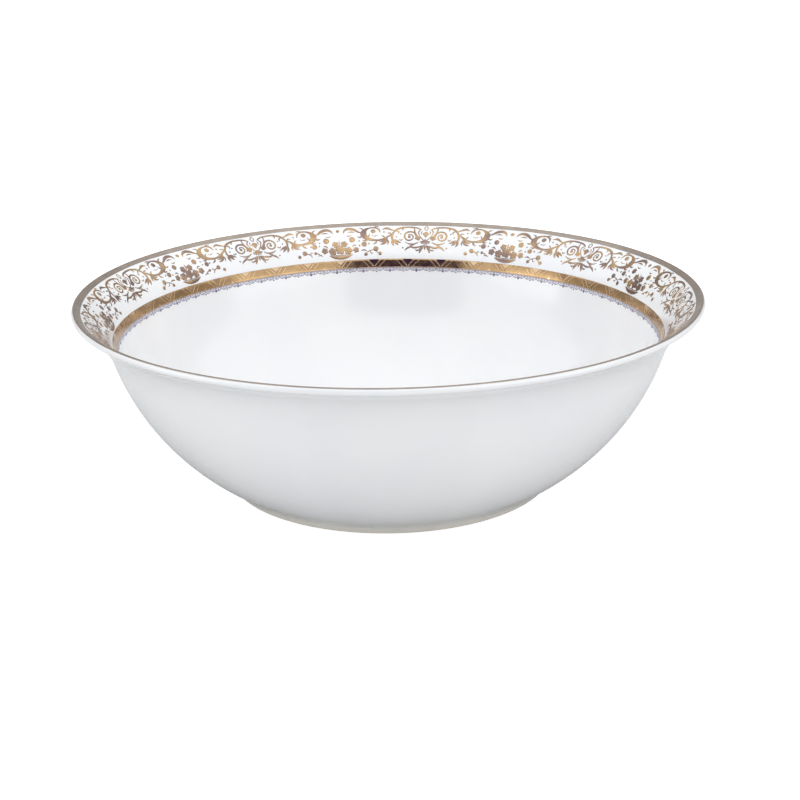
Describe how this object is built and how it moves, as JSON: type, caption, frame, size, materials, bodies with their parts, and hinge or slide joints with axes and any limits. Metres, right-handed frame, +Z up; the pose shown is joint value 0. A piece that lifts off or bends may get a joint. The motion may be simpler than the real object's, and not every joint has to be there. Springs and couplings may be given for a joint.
{
  "type": "serving bowl",
  "caption": "Round white porcelain serving bowl with a flared gilt lip, a turned foot ring and a gold scroll and flower frieze inside the rim.",
  "frame": {"origin": "on the resting plane, under the middle of the foot ring", "axes": "+Z up the bowl's axis of revolution, towards the mouth; +Y through the back of the frieze, +X to the right"},
  "size_m": [0.23, 0.23, 0.0714],
  "materials": {
    "porcelain": "clear glossy glaze over white body, foot edge left bare",
    "rim_gold": "brushed fired gold, bright",
    "band_gold": "fired gold, matte ground with burnished triangles",
    "frieze_gold": "raised fired gold, burnished",
    "lace_enamel": "violet-grey lustre enamel"
  },
  "bodies": {
    "root": {"bowl_body": "porcelain", "rim_gilding_1": "rim_gold", "rim_gilding_2": "rim_gold", "rim_gilding_3": "rim_gold", "rim_gilding_4": "rim_gold", "rim_gilding_5": "rim_gold", "rim_gilding_6": "rim_gold", "rim_gilding_7": "rim_gold", "rim_gilding_8": "rim_gold", "rim_gilding_9": "rim_gold", "gold_band_1": "band_gold", "gold_band_2": "band_gold", "gold_band_3": "band_gold", "gold_band_4": "band_gold", "gold_band_5": "band_gold", "gold_band_6": "band_gold", "gold_band_7": "band_gold", "gold_band_8": "band_gold", "gold_band_9": "band_gold", "lace_border_1": "lace_enamel", "lace_border_2": "lace_enamel", "lace_border_3": "lace_enamel", "lace_border_4": "lace_enamel", "lace_border_5": "lace_enamel", "lace_border_6": "lace_enamel", "lace_border_7": "lace_enamel", "lace_border_8": "lace_enamel", "lace_border_9": "lace_enamel", "scroll_cartouche_1": "frieze_gold", "scroll_cartouche_2": "frieze_gold", "scroll_cartouche_3": "frieze_gold", "scroll_cartouche_4": "frieze_gold", "scroll_cartouche_5": "frieze_gold", "scroll_cartouche_6": "frieze_gold", "scroll_cartouche_7": "frieze_gold", "scroll_cartouche_8": "frieze_gold", "scroll_cartouche_9": "frieze_gold", "flower_basket_1": "frieze_gold", "flower_basket_2": "frieze_gold", "flower_basket_3": "frieze_gold", "flower_basket_4": "frieze_gold", "flower_basket_5": "frieze_gold", "flower_basket_6": "frieze_gold", "flower_basket_7": "frieze_gold", "flower_basket_8": "frieze_gold", "flower_basket_9": "frieze_gold"}
  },
  "joints": []
}
